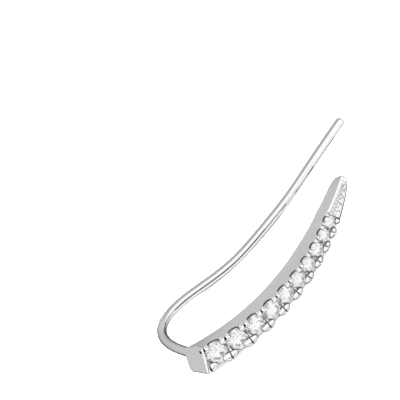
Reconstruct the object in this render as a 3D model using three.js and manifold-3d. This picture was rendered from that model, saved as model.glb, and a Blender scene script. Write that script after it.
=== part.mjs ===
// An ear climber: a curved, tapering bar of graduated round stones in shared split claws, with an
// ear wire that leaves the back of its wide end, turns up and runs behind the bar to its tip.
// Lengths are millimetres and +Z is up. The bar is first laid out along its own curve, where
// "across" points to the outer side of the bend, "back" points to the ear wire, and "along" runs
// from the wide end to the tip. The last section turns the finished piece onto its resting side.
import * as THREE from "three";
import { mergeVertices } from "three/addons/utils/BufferGeometryUtils.js";
import Module from "manifold-3d";

const wasm = await Module();
wasm.setup();

// ---- driving dimensions ------------------------------------------------------------------
const BAR_LENGTH = 20.3; // along the curve, from the end plate to the tip
const BAR_TURN = THREE.MathUtils.degToRad(55); // how far the bar turns towards its inner side
const TURN_AT_START = 0.83; // the share of that turn that is spread evenly; the rest tightens
const BAR_LEAN = THREE.MathUtils.degToRad(12.4); // how far the tip leans back towards the ear
const CURVE_STEPS = 64;
const STONE_WALL_STEPS = 18;
const TIP_WALL_STEPS = 8;
const CORNER_STEPS = 3;

const BODY_WIDTH = { wide: 2.26, end: 1.32 }; // across the walls
const BODY_DEPTH = { wide: 1.86, end: 1.8 }; // from the claw tops to the back
const WALL_TOP = 0.16; // how far the walls stay behind the claw tops
const BACK_INSET = 0.22; // at both ends the inner wall draws in this much towards the back
const INNER_CORNER = 0.07; // rounding of the back edge on the inner side, a share of the section
const OUTER_CORNER = 0.16; // and of the back edge on the outer side

const STONE_COUNT = 10;
const FIRST_CLAW = 0.54; // along, from the wide end to the groove of the first claws
const FIRST_PITCH = 2.11; // from the first groove to the second
const PITCH_STEP = 0.105; // each pitch is shorter than the last by this
const STONE_SHARE = 0.94; // stone diameter as a share of its pitch
const STONE_DROP = 0.06; // the stones' tables lie behind the claw tops
const STONE_SHIFT = -0.07; // the row of stones sits a little towards the inner side
const SEAT = { gap: 0.04, culet: 0.056, girdle: 0.016 }; // clearance round, below and beside a stone
const STONE_SIDES = 16;
// Heights and table of a round brilliant, as shares of its radius.
const CROWN_SHARE = 0.3;
const GIRDLE_SHARE = 0.05;
const PAVILION_SHARE = 0.86;
const TABLE_SHARE = 0.56;

const CLAW_OVERHANG = { inner: 0.01, outer: 0.13 }; // how far the beads stand out past the walls
const CLAW_RADIUS = 0.14; // of a bead, as a share of its pitch
const CLAW_REACH = 1.5; // a bead's middle lies this many radii behind the claw tops
const CLAW_SPLIT = 0.15; // from the groove to a bead's centre along, as a share of its pitch
const GROOVE = { width: 0.1, depth: 0.34 }; // the saw cut that splits a pair of claws
const SCALLOP = { share: 0.27, sides: 12 }; // the hollow in the walls beside a stone, of its pitch
const CUT_LENGTH = 3.4; // the tools that cut across the bar are longer than it is wide

// The end plate's face leans out towards its back and towards the outer side.
const PLATE = { thickness: 0.36, width: 2.3, setback: 0.12, lean: 0.46, skew: 0.08 };

// Beyond the stones the bar narrows to a round cap, and its back curves up to meet it.
const TIP = { width: 0.44, cap: 0.25, curve: 1.3, depth: 0.8, top: 0.08, overlap: 0.1 };
const TIP_BEADS = { pairs: 4, radius: 0.21, shrink: 0.025, start: 0.35, inset: 0.75 };

const WIRE_RADIUS = 0.42;
const WIRE_SIDES = 10;
const WIRE_STEPS = 40;
const WIRE_END = { share: 0.99, rings: 8 }; // the round end, a hair thinner than the wire
// The ear wire is three smooth curves through four points: x across, y back and z along at the
// wide end. Each handle is the curve's pull at that point.
const WIRE_POINTS = [
  { name: "root", at: [0, 1.5, 0.7], handle: [0.9, 8.9, -2] },
  { name: "top of the bend", at: [-1.15, 11.3, 4.75], handle: [-0.7, 0, 3.9] },
  { name: "middle", at: [-4, 11.2, 13.1], handle: [-2.05, -0.2, 3.8] },
  { name: "free end", at: [-10.1, 10.05, 21.9], handle: [-4.15, -0.8, 5.85] },
];

// The piece lies by itself on the outer side of its bend, on the bar and the ear wire.
// The first angle brings that side down and the second lets the wire touch as well.
const REST_ROCK = THREE.MathUtils.degToRad(111.358);
const REST_ROLL = THREE.MathUtils.degToRad(-5.035);

// ---- the bar's own curve -------------------------------------------------------------------
function turnAt(share) {
  return BAR_TURN * share * (TURN_AT_START + (1 - TURN_AT_START) * share);
}

function headingAt(along) {
  const share = along / BAR_LENGTH;
  const turn = turnAt(share);
  const lean = BAR_LEAN * share;
  return new THREE.Vector3(
    -Math.sin(turn) * Math.cos(lean),
    Math.sin(lean),
    Math.cos(turn) * Math.cos(lean),
  );
}

function pointAt(along) {
  const point = new THREE.Vector3();
  const step = along / CURVE_STEPS;
  for (let i = 0; i < CURVE_STEPS; i += 1) {
    point.addScaledVector(headingAt(step * (i + 0.5)), step);
  }
  return point;
}

// A frame on the bar: x is across, y is back and z is along.
function frameAt(along) {
  const turn = turnAt(along / BAR_LENGTH);
  const heading = headingAt(along);
  const across = new THREE.Vector3(Math.cos(turn), 0, Math.sin(turn));
  const back = new THREE.Vector3().crossVectors(heading, across).normalize();
  const frame = new THREE.Matrix4().makeBasis(across, back, heading);
  return frame.setPosition(pointAt(along));
}

function mix(pair, along) {
  return THREE.MathUtils.lerp(pair.wide, pair.end, along / BAR_LENGTH);
}

// ---- claws and stones along the bar --------------------------------------------------------
function pitchAt(index) {
  return FIRST_PITCH - PITCH_STEP * index;
}

function grooveAt(index) {
  let along = FIRST_CLAW;
  for (let i = 0; i < index; i += 1) {
    along += pitchAt(i);
  }
  return along;
}

const TIP_START = grooveAt(STONE_COUNT);

function stoneAt(index) {
  return { along: (grooveAt(index) + grooveAt(index + 1)) / 2, radius: (pitchAt(index) * STONE_SHARE) / 2 };
}

// Turns a profile about the stone's axis: heights count from the table, culet side negative.
function turnedAtStone(index, profile) {
  const points = profile.map(([radius, height]) => new THREE.Vector2(radius, height));
  const solid = new THREE.LatheGeometry(points, STONE_SIDES);
  solid.rotateX(Math.PI);
  solid.translate(STONE_SHIFT, STONE_DROP, 0);
  return solid.applyMatrix4(frameAt(stoneAt(index).along));
}

// A round brilliant: table, crown, girdle and pavilion.
function stoneSolid(index) {
  const { radius } = stoneAt(index);
  const crown = radius * CROWN_SHARE;
  const girdle = crown + radius * GIRDLE_SHARE;
  const culet = girdle + radius * PAVILION_SHARE;
  return turnedAtStone(index, [
    [0, -culet],
    [radius, -girdle],
    [radius, -crown],
    [radius * TABLE_SHARE, 0],
    [0, 0],
  ]);
}

// The tool that cuts a stone's seat: a cone below the girdle and a straight shaft above it.
function seatTool(index) {
  const { radius } = stoneAt(index);
  const girdle = radius * (CROWN_SHARE + GIRDLE_SHARE);
  const culet = girdle + radius * PAVILION_SHARE;
  return turnedAtStone(index, [
    [0, -culet - SEAT.culet],
    [radius + SEAT.gap, -girdle - SEAT.girdle],
    [radius + SEAT.gap, radius],
    [0, radius],
  ]);
}

// The saw cut across the bar between two stones.
function grooveCut(index) {
  const cut = new THREE.BoxGeometry(CUT_LENGTH, GROOVE.depth * 2, GROOVE.width);
  return cut.applyMatrix4(frameAt(grooveAt(index)));
}

// The hollow in both walls beside a stone, a round bar laid across.
function scallopCut(index) {
  const radius = SCALLOP.share * pitchAt(index);
  const cut = new THREE.CylinderGeometry(radius, radius, CUT_LENGTH, SCALLOP.sides);
  cut.rotateZ(Math.PI / 2);
  return cut.applyMatrix4(frameAt(stoneAt(index).along));
}

// ---- manifold solids -----------------------------------------------------------------------
const WELD = 1e-5; // points closer than this are one

function toManifold(geometry) {
  const bare = geometry.index ? geometry.toNonIndexed() : geometry.clone();
  bare.deleteAttribute("normal");
  bare.deleteAttribute("uv");
  const merged = mergeVertices(bare, WELD);
  const triVerts = [];
  for (let i = 0; i < merged.index.count; i += 3) {
    const corner = [merged.index.getX(i), merged.index.getX(i + 1), merged.index.getX(i + 2)];
    if (new Set(corner).size === 3) {
      triVerts.push(...corner);
    }
  }
  const mesh = new wasm.Mesh({
    numProp: 3,
    vertProperties: new Float32Array(merged.attributes.position.array),
    triVerts: new Uint32Array(triVerts),
  });
  return new wasm.Manifold(mesh);
}

function toGeometry(solid) {
  const mesh = solid.getMesh();
  const geometry = new THREE.BufferGeometry();
  geometry.setAttribute("position", new THREE.BufferAttribute(new Float32Array(mesh.vertProperties), 3));
  geometry.setIndex(new THREE.BufferAttribute(new Uint32Array(mesh.triVerts), 1));
  return geometry;
}

function join(geometries) {
  return geometries.map(toManifold).reduce((whole, next) => whole.add(next));
}

// ---- the bar -------------------------------------------------------------------------------
// Bends a solid that is drawn straight, with z along, onto the bar's curve.
function bend(straight) {
  const position = straight.attributes.position;
  for (let i = 0; i < position.count; i += 1) {
    const vertex = new THREE.Vector3().fromBufferAttribute(position, i);
    const frame = frameAt(vertex.z);
    vertex.z = 0;
    vertex.applyMatrix4(frame);
    position.setXYZ(i, vertex.x, vertex.y, vertex.z);
  }
  return straight;
}

// The wall's section, one wide and one deep: square at the front, rounded at the back.
function wallSection() {
  const side = 0.5;
  const shape = new THREE.Shape();
  shape.moveTo(-side, 0);
  shape.lineTo(side, 0);
  shape.lineTo(side, 1 - OUTER_CORNER);
  shape.quadraticCurveTo(side, 1, side - OUTER_CORNER, 1);
  shape.lineTo(INNER_CORNER - side, 1);
  shape.quadraticCurveTo(-side, 1, -side, 1 - INNER_CORNER);
  shape.closePath();
  return shape;
}

// The inner wall leans in towards its back near both ends of the bar, and not in the middle.
function innerInset(section, index, along) {
  if (section.getX(index) > 0) {
    return 0;
  }
  const fromMiddle = (2 * along) / BAR_LENGTH - 1;
  return BACK_INSET * fromMiddle * fromMiddle * section.getY(index);
}

function wallGeometry(start, end, steps, top) {
  const wall = new THREE.ExtrudeGeometry(wallSection(), {
    depth: end - start, steps, bevelEnabled: false, curveSegments: CORNER_STEPS,
  });
  const position = wall.attributes.position;
  for (let i = 0; i < position.count; i += 1) {
    const along = start + position.getZ(i);
    const depth = bodyDepth(along) - top;
    const across = position.getX(i) * bodyWidth(along) + innerInset(position, i, along);
    position.setXYZ(i, across, top + position.getY(i) * depth, along);
  }
  return bend(wall);
}

function bodyWidth(along) {
  if (along <= TIP_START) {
    return mix(BODY_WIDTH, along);
  }
  const share = (along - TIP_START) / (BAR_LENGTH - TIP_START);
  return THREE.MathUtils.lerp(mix(BODY_WIDTH, TIP_START), TIP.width, share);
}

function bodyDepth(along) {
  const full = mix(BODY_DEPTH, along);
  const past = Math.max(0, along - (BAR_LENGTH - TIP.curve)) / TIP.curve;
  return TIP.depth + (full - TIP.depth) * Math.sqrt(1 - past * past);
}

function stoneWall() {
  return wallGeometry(PLATE.setback, TIP_START, STONE_WALL_STEPS, WALL_TOP);
}

function tipWall() {
  return wallGeometry(TIP_START - TIP.overlap, BAR_LENGTH - TIP.cap, TIP_WALL_STEPS, TIP.top);
}

// A round cap closes the tip.
function tipCap() {
  const along = BAR_LENGTH - TIP.cap;
  const height = bodyDepth(along) - TIP.top;
  const cap = new THREE.CapsuleGeometry(TIP.cap, height - 2 * TIP.cap, 3, 10);
  cap.translate(0, TIP.top + height / 2, 0);
  return cap.applyMatrix4(frameAt(along));
}

// The end plate stands as high as the claws.
function endPlate() {
  const plate = new THREE.ExtrudeGeometry(wallSection(), {
    depth: PLATE.thickness, steps: 1, bevelEnabled: false, curveSegments: CORNER_STEPS,
  });
  const position = plate.attributes.position;
  for (let i = 0; i < position.count; i += 1) {
    const deep = position.getY(i);
    const across = position.getX(i) * PLATE.width + innerInset(position, i, 0);
    const outer = position.getZ(i) < PLATE.thickness / 2;
    const reach = outer ? PLATE.lean * deep + PLATE.skew * across : 0;
    position.setXYZ(i, across, deep * BODY_DEPTH.wide, PLATE.setback + position.getZ(i) - reach);
  }
  return plate.applyMatrix4(frameAt(0));
}

// ---- claws ---------------------------------------------------------------------------------
// A claw is a round bead on the wall beside the groove.
function clawBead(along, across, radius) {
  const bead = new THREE.CapsuleGeometry(radius, radius, 2, 7);
  bead.translate(across, radius * CLAW_REACH, 0);
  return bead.applyMatrix4(frameAt(along));
}

// The first and last grooves have claws on the stones' side only.
function clawOffsets(groove) {
  if (groove === 0) {
    return [1];
  }
  if (groove === STONE_COUNT) {
    return [-1];
  }
  return [-1, 1];
}

function claws() {
  const beads = [];
  for (let groove = 0; groove <= STONE_COUNT; groove += 1) {
    const pitch = pitchAt(Math.max(groove - 0.5, 0));
    const radius = CLAW_RADIUS * pitch;
    for (const offset of clawOffsets(groove)) {
      const along = grooveAt(groove) + offset * CLAW_SPLIT * pitch;
      const reach = bodyWidth(along) / 2 - radius;
      beads.push(clawBead(along, -reach - CLAW_OVERHANG.inner, radius));
      beads.push(clawBead(along, reach + CLAW_OVERHANG.outer, radius));
    }
  }
  return beads;
}

// Small beads in two rows run on from the claws to the cap of the tip.
function tipBeads() {
  const beads = [];
  const run = BAR_LENGTH - TIP.cap * 2 - TIP_START;
  for (let i = 0; i < TIP_BEADS.pairs; i += 1) {
    const along = TIP_START + (run * (i + TIP_BEADS.start)) / TIP_BEADS.pairs;
    const radius = TIP_BEADS.radius - TIP_BEADS.shrink * i;
    const across = bodyWidth(along) / 2 - radius * TIP_BEADS.inset;
    for (const side of [-1, 1]) {
      const bead = new THREE.SphereGeometry(radius, 7, 4);
      bead.translate(side * across, radius, 0);
      beads.push(bead.applyMatrix4(frameAt(along)));
    }
  }
  return beads;
}

// ---- ear wire ------------------------------------------------------------------------------
function wireRoute() {
  const route = new THREE.CurvePath();
  for (let i = 0; i + 1 < WIRE_POINTS.length; i += 1) {
    const start = new THREE.Vector3(...WIRE_POINTS[i].at);
    const end = new THREE.Vector3(...WIRE_POINTS[i + 1].at);
    const leave = start.clone().add(new THREE.Vector3(...WIRE_POINTS[i].handle));
    const arrive = end.clone().sub(new THREE.Vector3(...WIRE_POINTS[i + 1].handle));
    route.add(new THREE.CubicBezierCurve3(start, leave, arrive, end));
  }
  return route;
}

function earWire() {
  const points = wireRoute().getSpacedPoints(WIRE_STEPS);
  const path = new THREE.CatmullRomCurve3(points, false, "centripetal");
  const section = new THREE.Shape();
  for (let i = 0; i < WIRE_SIDES; i += 1) {
    const angle = (2 * Math.PI * i) / WIRE_SIDES;
    const corner = [WIRE_RADIUS * Math.cos(angle), WIRE_RADIUS * Math.sin(angle)];
    if (i === 0) {
      section.moveTo(...corner);
    } else {
      section.lineTo(...corner);
    }
  }
  section.closePath();
  return new THREE.ExtrudeGeometry(section, { steps: WIRE_STEPS, bevelEnabled: false, extrudePath: path });
}

function wireEnd() {
  const end = new THREE.SphereGeometry(WIRE_RADIUS * WIRE_END.share, WIRE_SIDES, WIRE_END.rings);
  return end.translate(...WIRE_POINTS[WIRE_POINTS.length - 1].at);
}

// ---- the metal -----------------------------------------------------------------------------
function metalSolid() {
  let metal = join([stoneWall(), tipWall(), tipCap(), endPlate(), ...claws(), ...tipBeads()]);
  for (let i = 0; i < STONE_COUNT; i += 1) {
    metal = metal.subtract(toManifold(seatTool(i)));
    metal = metal.subtract(toManifold(scallopCut(i)));
  }
  for (let i = 0; i <= STONE_COUNT; i += 1) {
    metal = metal.subtract(toManifold(grooveCut(i)));
  }
  return toGeometry(metal.add(join([earWire(), wireEnd()])));
}

// ---- assembly ------------------------------------------------------------------------------
const silver = new THREE.MeshStandardMaterial({ color: "#d9d9dc", metalness: 1, roughness: 0.18 });
const clear = new THREE.MeshStandardMaterial({ color: "#f2f4f6", metalness: 0, roughness: 0.02 });

function namedMesh(name, geometry, material) {
  const mesh = new THREE.Mesh(geometry, material);
  mesh.name = name;
  return mesh;
}

function buildClimber() {
  const climber = new THREE.Group();
  climber.add(namedMesh("bar_and_ear_wire", metalSolid(), silver));
  for (let i = 0; i < STONE_COUNT; i += 1) {
    const number = String(i + 1).padStart(2, "0");
    climber.add(namedMesh(`stone_${number}`, stoneSolid(i), clear.clone()));
  }
  climber.rotation.set(REST_ROLL, REST_ROCK, 0, "XYZ");
  return climber;
}

// Sets the lowest point on the floor, with the middle of the outline over the origin.
function setDown(piece) {
  piece.updateMatrixWorld(true);
  const box = new THREE.Box3().setFromObject(piece, true);
  const middle = box.getCenter(new THREE.Vector3());
  piece.position.set(-middle.x, -middle.y, -box.min.z);
  return piece;
}

const scene = new THREE.Group();
scene.add(setDown(buildClimber()));

export default scene;
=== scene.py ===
"""Ear climber: the finished surfaces of its bar, claws, stones, tip and ear wire, and a studio."""

import math

import bmesh
import bpy
from bpy.props import FloatProperty, FloatVectorProperty, IntProperty, PointerProperty
from mathutils import Matrix, Quaternion, Vector, geometry


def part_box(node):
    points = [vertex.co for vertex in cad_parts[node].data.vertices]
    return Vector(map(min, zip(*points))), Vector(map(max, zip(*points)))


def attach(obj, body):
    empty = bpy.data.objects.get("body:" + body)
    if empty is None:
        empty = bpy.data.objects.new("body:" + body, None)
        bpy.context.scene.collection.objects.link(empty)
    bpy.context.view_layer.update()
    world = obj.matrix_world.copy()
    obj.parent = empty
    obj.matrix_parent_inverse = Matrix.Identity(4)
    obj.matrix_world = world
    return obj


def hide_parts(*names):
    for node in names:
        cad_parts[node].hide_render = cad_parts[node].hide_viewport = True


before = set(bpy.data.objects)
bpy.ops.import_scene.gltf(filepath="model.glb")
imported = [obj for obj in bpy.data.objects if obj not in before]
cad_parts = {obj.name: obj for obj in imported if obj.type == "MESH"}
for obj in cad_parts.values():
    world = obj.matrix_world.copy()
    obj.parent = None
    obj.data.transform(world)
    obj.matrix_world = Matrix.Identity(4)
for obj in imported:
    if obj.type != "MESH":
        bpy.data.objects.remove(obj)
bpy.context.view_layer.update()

bl_info = {
    "name": "Ear Climber",
    "version": (1, 0, 0),
    "blender": (4, 5, 0),
    "location": "View3D > Sidebar > Ear Climber",
    "description": "Builds a curved ear climber of graduated stones in split claws",
    "category": "Add Mesh",
}

MM = 0.001
METAL_NODE = "bar_and_ear_wire"

# Slots of every metal piece: bright front, satin sides, grey painted shade (on the hollows beside the stones,
# the claws' feet, the tip's edge, the wire's line and two roundings), near-black painted shade (in the notches
# and the pit) and pale seats.
BRIGHT, SATIN, PAINTED_SHADE, PAINTED_DARK_SHADE, SEAT = 0, 1, 2, 3, 4

CURVE_STEPS = 400
SMOOTH_ANGLE = math.radians(38)
SLICE_SLACK = 1e-7  # how near a plane a corner counts as lying on it
CORNER_SEGMENTS = 6


# ---- settings ----
def length(name, description, millimetres):
    default = millimetres * MM
    return FloatProperty(name=name, description=description, default=default, unit="LENGTH", precision=6)


def share(name, description, value):
    return FloatProperty(name=name, description=description, default=value, subtype="FACTOR", min=-10, max=10)


def angle(name, description, degrees):
    return FloatProperty(name=name, description=description, default=math.radians(degrees), unit="ROTATION")


def colour(name, description, value):
    return FloatVectorProperty(name=name, description=description, default=value, size=3, subtype="COLOR")


def position(name, description, millimetres):
    return FloatVectorProperty(
        name=name, description=description, default=[part * MM for part in millimetres], size=3,
        subtype="TRANSLATION", unit="LENGTH",
    )


class BarSizes(bpy.types.PropertyGroup):
    """The bar: its curve, its section and the way it lies."""

    length: length("Length", "Along the curve, from the end plate to the tip", 20.3)
    turn: angle("Turn", "How far the bar turns towards its inner side", 55)
    even_turn: share("Even turn", "Share of the turn that is spread evenly; the rest tightens", 0.83)
    lean: angle("Lean", "How far the tip leans back towards the ear", 12.4)
    wide_width: length("Wide width", "Across the walls at the wide end", 2.26)
    end_width: length("Narrow width", "Across the walls where they would reach the tip", 1.32)
    wide_depth: length("Wide depth", "From the claw tops to the back at the wide end", 1.86)
    end_depth: length("Narrow depth", "From the claw tops to the back at the tip", 1.8)
    wall_top: length("Wall top", "How far the walls stay behind the claw tops", 0.16)
    deepening: length("Deepening", "How much deeper the bar is before it nears its tip", 0.2)
    back_inset: length("Back inset", "How far the inner wall draws in at both ends", 0.17)
    bulge: length("Bulge", "How far the inner wall's back stands out at the middle", 0.15)
    outer_inset: length("Outer inset", "How far the outer wall draws in where the tip starts", 0.09)
    rock: angle("Rock", "Turn that lays the bar on the outer side of its bend", 111.358)
    roll: angle("Roll", "Turn that lets the ear wire touch the surface as well", -5.035)
    start: position("Start", "Where the bar's curve starts, as the piece lies", (-11.85834, -5.7522, 2.75417))


class StoneSizes(bpy.types.PropertyGroup):
    """The row of graduated brilliants."""

    count: IntProperty(name="Count", description="How many stones the bar holds", default=10)
    first_groove: length("First groove", "From the wide end to the first claws' groove", 0.54)
    first_pitch: length("First pitch", "From the first groove to the second", 2.11)
    pitch_step: length("Pitch step", "Each pitch is shorter than the last by this", 0.105)
    size: share("Stone size", "Diameter as a share of its pitch", 0.94)
    drop: length("Drop", "The tables lie this far behind the claw tops", 0.06)
    shift: length("Shift", "How far the row sits from the middle; above 0 is towards the outer side", -0.07)
    crown: share("Crown", "Height above the girdle, of the radius", 0.3)
    girdle: share("Girdle", "Thickness of the girdle, of the radius", 0.05)
    pavilion: share("Pavilion", "Depth below the girdle, of the radius", 0.93)
    table: share("Table", "Radius of the table, of the radius", 0.56)
    tint: colour("Tint", "Colour of the stones", (0.985, 0.99, 0.995))


class ClawSizes(bpy.types.PropertyGroup):
    """The split claws, the grooves between them and the hollows beside the stones."""

    inner_across: share("Inner across", "Half width of an inner claw at its groove, of its pitch", 0.14)
    outer_across: share("Outer across", "The same for an outer claw", 0.17)
    inner_along: share("Inner along", "How far an inner claw reaches over its stone, of its pitch", 0.27)
    outer_along: share("Outer along", "The same for an outer claw", 0.34)
    deep: share("Deep", "Half depth of a claw, of its pitch", 0.12)
    slant: share("Slant", "How much the grooves run towards the wide end on the outer side", 0.075)
    # A claw's foot is painted shade: a grey rim round the claw that draws its dark outline.
    foot: length("Foot", "How far a claw's unpolished foot stands out all round", 0.035)
    outer_foot: length("Outer foot", "The same on the outer side at the last claws", 0.12)
    foot_drop: length("Foot drop", "How far the foot lies behind the claw tops", 0.11)
    toe_in: angle("Toe in", "How far a claw turns towards its stone", 8)
    inner_overhang: length("Inner overhang", "How far claws stand out past the inner wall", 0.01)
    outer_overhang: length("Outer overhang", "How far claws stand out past the outer wall", 0.04)
    groove_width: length("Groove width", "Width of the saw cut between two claws", 0.12)
    groove_depth: length("Groove depth", "Depth of the saw cut below the claw tops", 0.36)
    groove_inset: length("Groove inset", "How far the saw cut stays inside the inner wall's side", 0.06)
    notch_across: share("Notch across", "Half length of the notch at a groove's end, of its pitch", 0.085)
    notch_along: share("Notch along", "Half width of the notch at a groove's end, of its pitch", 0.055)
    scallop: share("Scallop", "Radius of the hollow beside a stone, of its pitch", 0.28)
    # The edge round a hollow on the outer side is painted grey: painted shade.
    relief: length("Relief", "Width of the dull edge round a hollow on the outer side", 0.07)


class TipSizes(bpy.types.PropertyGroup):
    """The pointed tip with its bright rim and its beads."""

    width: length("Width", "Width that the walls taper to", 0.44)
    fullness: length("Fullness", "How far the outer side curves out before the end", 0.16)
    cap: length("Cap", "Radius of the round end", 0.25)
    nose: length("Nose", "How far the round end reaches past the curve's end", 0.08)
    curve: length("Curve", "Length over which the back rises to the end", 1.2)
    depth: length("Depth", "Depth that is left at the end", 0.92)
    rim: length("Rim", "Width of the bright rim on the inner side", 0.24)
    rim_top: length("Rim top", "How far the rim stays behind the claw tops", 0.05)
    channel: length("Channel", "How far the beaded channel lies behind the claw tops", 0.22)
    beads: IntProperty(name="Beads", description="Beads along the outer edge", default=5)
    # This edge is painted grey: painted shade.
    strip: length("Strip", "Width of the dull outer edge beside the beads", 0.12)
    bead: length("Bead", "Radius of the first bead", 0.19)
    bead_stretch: share("Bead stretch", "Length of a bead, of its width", 1.7)
    grains: IntProperty(name="Grains", description="Small grains in each row of the channel", default=8)
    grain: length("Grain", "Radius of the first grain", 0.165)


class PlateSizes(bpy.types.PropertyGroup):
    """The block that closes the wide end."""

    thickness: length("Thickness", "Along the bar", 0.23)
    width: length("Width", "Across the bar", 2.3)
    setback: length("Setback", "From the start of the curve to the block's face", 0.25)
    lean: length("Lean", "How far the face leans out at its back", 0.76)
    skew: share("Skew", "How far the face leans out towards the outer side", 0.08)
    edge: length("Edge", "Rounding of the block's edges", 0.035)
    outer_edge: length("Outer edge", "Rounding of the face's edge on the outer side", 0.16)
    claw: FloatVectorProperty(
        name="Claw",
        description="Size of the claw on the block's inner corner, of the other claws': across, deep and along",
        default=(0.36, 0.4, 0.48),
        size=3,
    )
    pit: length("Pit", "Radius of the small drilled pit below that claw", 0.15)
    pit_across: length("Pit across", "From the block's inner side to the pit", 0.31)
    pit_deep: length("Pit deep", "From the block's front to the pit", 0.17)


class WireSizes(bpy.types.PropertyGroup):
    """The ear wire."""

    radius: length("Radius", "Half the thickness of the wire", 0.42)
    flare: length("Flare", "How much thicker the wire is where it meets the bar", 0.16)
    flare_length: length("Flare length", "How far the flare runs along the wire", 0.7)
    # The line is painted grey: a painted dark reflection along the wire.
    line_from: length("Line from", "The dull line starts this far back, past the bend", 2.5)
    line_turn: length("Line turn", "The line turns down over this much of the wire's reach", 13)
    line_low: FloatProperty(name="Line low", description="Slope of the line's side near the bend", default=0.24)
    line_high: FloatProperty(name="Line high", description="The same at the free end", default=-0.5)


class Finishes(bpy.types.PropertyGroup):
    """Colours of the metal, of the shade painted on it, and of the stage."""

    bright: colour("Bright metal", "Polished and plated front", (0.94, 0.94, 0.945))
    satin: colour("Satin metal", "Satin sides of the bar", (0.88, 0.88, 0.885))
    # Painted shade: this grey on the hollows, the claws' feet, the tip's outer edge and the roundings stands in
    # for shade, and on the wire's line it is a painted dark reflection.
    hollow: colour("Hollow metal", "Hollows, claws' feet, the tip's edge, the wire's line", (0.26, 0.26, 0.265))
    # Painted shade: the near black inside the notches and the pit stands in for their shadow.
    dull_painted_shade: colour("Dull metal", "Inside of notches and pits", (0.04, 0.04, 0.042))
    seat: colour("Seat metal", "Inside of seats and grooves, and the tip's channel", (0.85, 0.85, 0.855))
    # Painted shade: a near-black edge tint darkens the metal where it turns away, drawing dark outlines.
    grazing_painted_shade: colour("Grazing tint", "What the metal reflects where it turns away", (0.12, 0.12, 0.12))
    floor: colour("Floor", "Pale studio floor", (0.96, 0.96, 0.96))
    surround: colour("Surround", "Tint of the studio round the stage", (1, 1, 1))


class StageSizes(bpy.types.PropertyGroup):
    """Camera and lights."""

    azimuth: angle("Azimuth", "Camera's turn round the piece", -10.3686)
    elevation: angle("Elevation", "Camera's height above the horizon", 28.9929)
    tilt: angle("Tilt", "Camera's turn about its own line of sight", -40.1376)
    camera: position("Camera", "Where the camera stands", (-24.307, -119.78, 77.6407))
    lens: FloatProperty(name="Lens", description="Focal length of the camera, in millimetres", default=154.138)
    floor: length("Floor size", "Side of the floor", 3000)
    overhead: FloatProperty(name="Overhead", description="Power of the overhead panel", default=6, unit="POWER")
    front: FloatProperty(name="Front", description="Power of the front panel", default=4, unit="POWER")
    surround_front: share("Surround front", "Brightness of the studio in front of the piece", 1.08)
    surround_line: share("Surround line", "Brightness of the dim line across the front of the studio", 0.1)
    surround_back: share("Surround back", "Brightness of the studio behind the piece", 0.66)
    surround_top: share("Surround top", "Brightness of the studio high behind the piece", 0.42)
    card: share("Card", "Brightness of the dark card behind and below the piece, which outlines it", 0.14)


class ClimberSettings(bpy.types.PropertyGroup):
    """All sizes and finishes of the ear climber."""

    bar: PointerProperty(type=BarSizes)
    stones: PointerProperty(type=StoneSizes)
    claws: PointerProperty(type=ClawSizes)
    tip: PointerProperty(type=TipSizes)
    plate: PointerProperty(type=PlateSizes)
    wire: PointerProperty(type=WireSizes)
    finishes: PointerProperty(type=Finishes)
    stage: PointerProperty(type=StageSizes)


# ---- the bar's curve ----
DEEPENING_RUN = 4 * MM  # length over which the bar's extra depth ends before the tip
FULL_RISE = 1.6  # the tip's outer side is fullest at one part in this many of its length


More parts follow.
